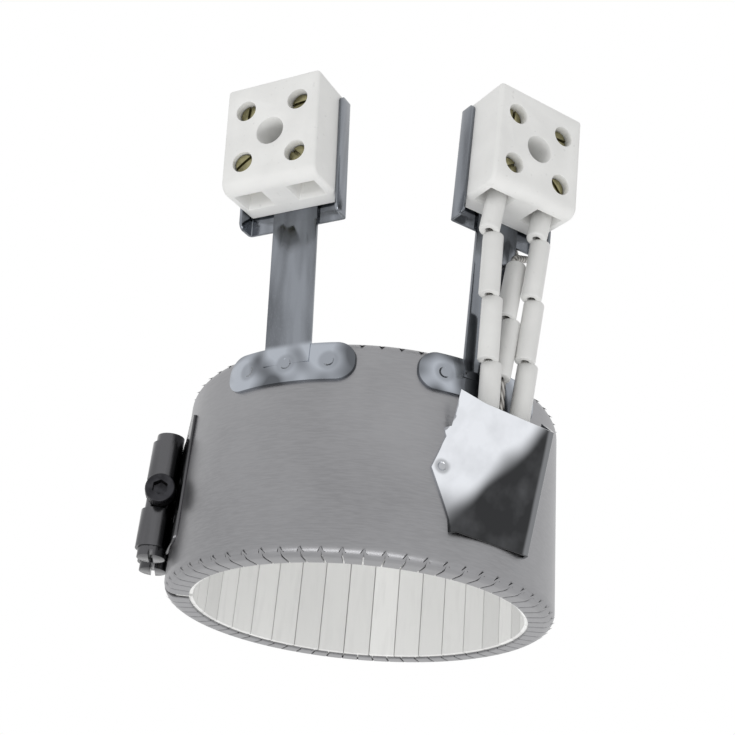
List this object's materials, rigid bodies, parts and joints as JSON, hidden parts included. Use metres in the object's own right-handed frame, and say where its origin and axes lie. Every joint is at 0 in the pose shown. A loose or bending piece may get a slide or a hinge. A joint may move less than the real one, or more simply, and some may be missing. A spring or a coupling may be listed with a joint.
{
  "type": "band heater",
  "caption": "Split ceramic band heater with a slotted stainless shell, a barrel-nut clamp, terminal blocks on spring straps and beaded leads from an outlet cap.",
  "frame": {"origin": "centre of the bore, halfway along the band", "axes": "+Z along the bore towards the terminal blocks; -Y towards the side with the blocks and the outlet cap; the clamp is on the -X side"},
  "size_m": [0.1217, 0.1367, 0.1374],
  "materials": {
    "shell_steel": "satin",
    "blanket": "matte",
    "tile_ceramic": "matte",
    "coil_alloy": "dull",
    "black_screw": "black oxide",
    "polished_steel": "polished",
    "block_ceramic": "matte",
    "bead_ceramic": "matte",
    "brass": "satin",
    "clamp_steel": "polished",
    "plated_steel": "plated",
    "lead_alloy": "dull",
    "strap_steel": "polished"
  },
  "bodies": {
    "heater": {"shell": "shell_steel", "insulation_blanket": "blanket", "ceramic_tiles": "tile_ceramic", "heating_coil": "coil_alloy", "outlet_cap": "polished_steel", "earth_lead_wire": "lead_alloy", "earth_ring_terminal": "plated_steel", "earth_weld_lug": "plated_steel", "clamp_lug_near": "clamp_steel", "barrel_nut_near": "clamp_steel", "clamp_lug_far": "clamp_steel", "barrel_nut_far": "clamp_steel", "strap_left": "strap_steel", "bracket_left": "strap_steel", "terminal_block_left": "block_ceramic", "mount_screw_left": "plated_steel", "mount_nut_left": "plated_steel", "connector_left_1": "brass", "connector_left_2": "brass", "power_lead_wire_left": "lead_alloy", "bead_left_1": "bead_ceramic", "bead_left_2": "bead_ceramic", "bead_left_3": "bead_ceramic", "bead_left_4": "bead_ceramic", "strap_right": "strap_steel", "bracket_right": "strap_steel", "terminal_block_right": "block_ceramic", "mount_screw_right": "plated_steel", "mount_nut_right": "plated_steel", "connector_right_1": "brass", "connector_right_2": "brass", "power_lead_wire_right": "lead_alloy", "bead_right_1": "bead_ceramic", "bead_right_2": "bead_ceramic", "bead_right_3": "bead_ceramic", "bead_right_4": "bead_ceramic", "bead_earth_1": "bead_ceramic", "bead_earth_2": "bead_ceramic"},
    "clamp_screw": {"clamp_screw": "black_screw"},
    "terminal_screw_left_1": {"terminal_screw_left_1": "brass"},
    "terminal_screw_left_2": {"terminal_screw_left_2": "brass"},
    "terminal_screw_left_3": {"terminal_screw_left_3": "brass"},
    "terminal_screw_left_4": {"terminal_screw_left_4": "brass"},
    "terminal_screw_right_1": {"terminal_screw_right_1": "brass"},
    "terminal_screw_right_2": {"terminal_screw_right_2": "brass"},
    "terminal_screw_right_3": {"terminal_screw_right_3": "brass"},
    "terminal_screw_right_4": {"terminal_screw_right_4": "brass"}
  },
  "joints": [
    {"name": "clamp_screw_turn", "type": "hinge", "parent": "heater", "child": "clamp_screw", "pos_m": [-0.05946, -0.01479, -0.0033], "axis": [0.0872, -0.9962, 0], "continuous": true},
    {"name": "terminal_screw_left_1_turn", "type": "hinge", "parent": "heater", "child": "terminal_screw_left_1", "pos_m": [-0.0408, -0.06346, 0.0769], "axis": [-0.4429, -0.8883, -0.1219], "continuous": true},
    {"name": "terminal_screw_left_2_turn", "type": "hinge", "parent": "heater", "child": "terminal_screw_left_2", "pos_m": [-0.04169, -0.06525, 0.09318], "axis": [-0.4429, -0.8883, -0.1219], "continuous": true},
    {"name": "terminal_screw_left_3_turn", "type": "hinge", "parent": "heater", "child": "terminal_screw_left_3", "pos_m": [-0.02612, -0.07078, 0.0769], "axis": [-0.4429, -0.8883, -0.1219], "continuous": true},
    {"name": "terminal_screw_left_4_turn", "type": "hinge", "parent": "heater", "child": "terminal_screw_left_4", "pos_m": [-0.02702, -0.07256, 0.09318], "axis": [-0.4429, -0.8883, -0.1219], "continuous": true},
    {"name": "terminal_screw_right_1_turn", "type": "hinge", "parent": "heater", "child": "terminal_screw_right_1", "pos_m": [0.02986, -0.06684, 0.08198], "axis": [0.5063, -0.8595, -0.0698], "continuous": true},
    {"name": "terminal_screw_right_2_turn", "type": "hinge", "parent": "heater", "child": "terminal_screw_right_2", "pos_m": [0.03044, -0.06783, 0.09834], "axis": [0.5063, -0.8595, -0.0698], "continuous": true},
    {"name": "terminal_screw_right_3_turn", "type": "hinge", "parent": "heater", "child": "terminal_screw_right_3", "pos_m": [0.04399, -0.05852, 0.08198], "axis": [0.5063, -0.8595, -0.0698], "continuous": true},
    {"name": "terminal_screw_right_4_turn", "type": "hinge", "parent": "heater", "child": "terminal_screw_right_4", "pos_m": [0.04457, -0.05951, 0.09834], "axis": [0.5063, -0.8595, -0.0698], "continuous": true}
  ]
}
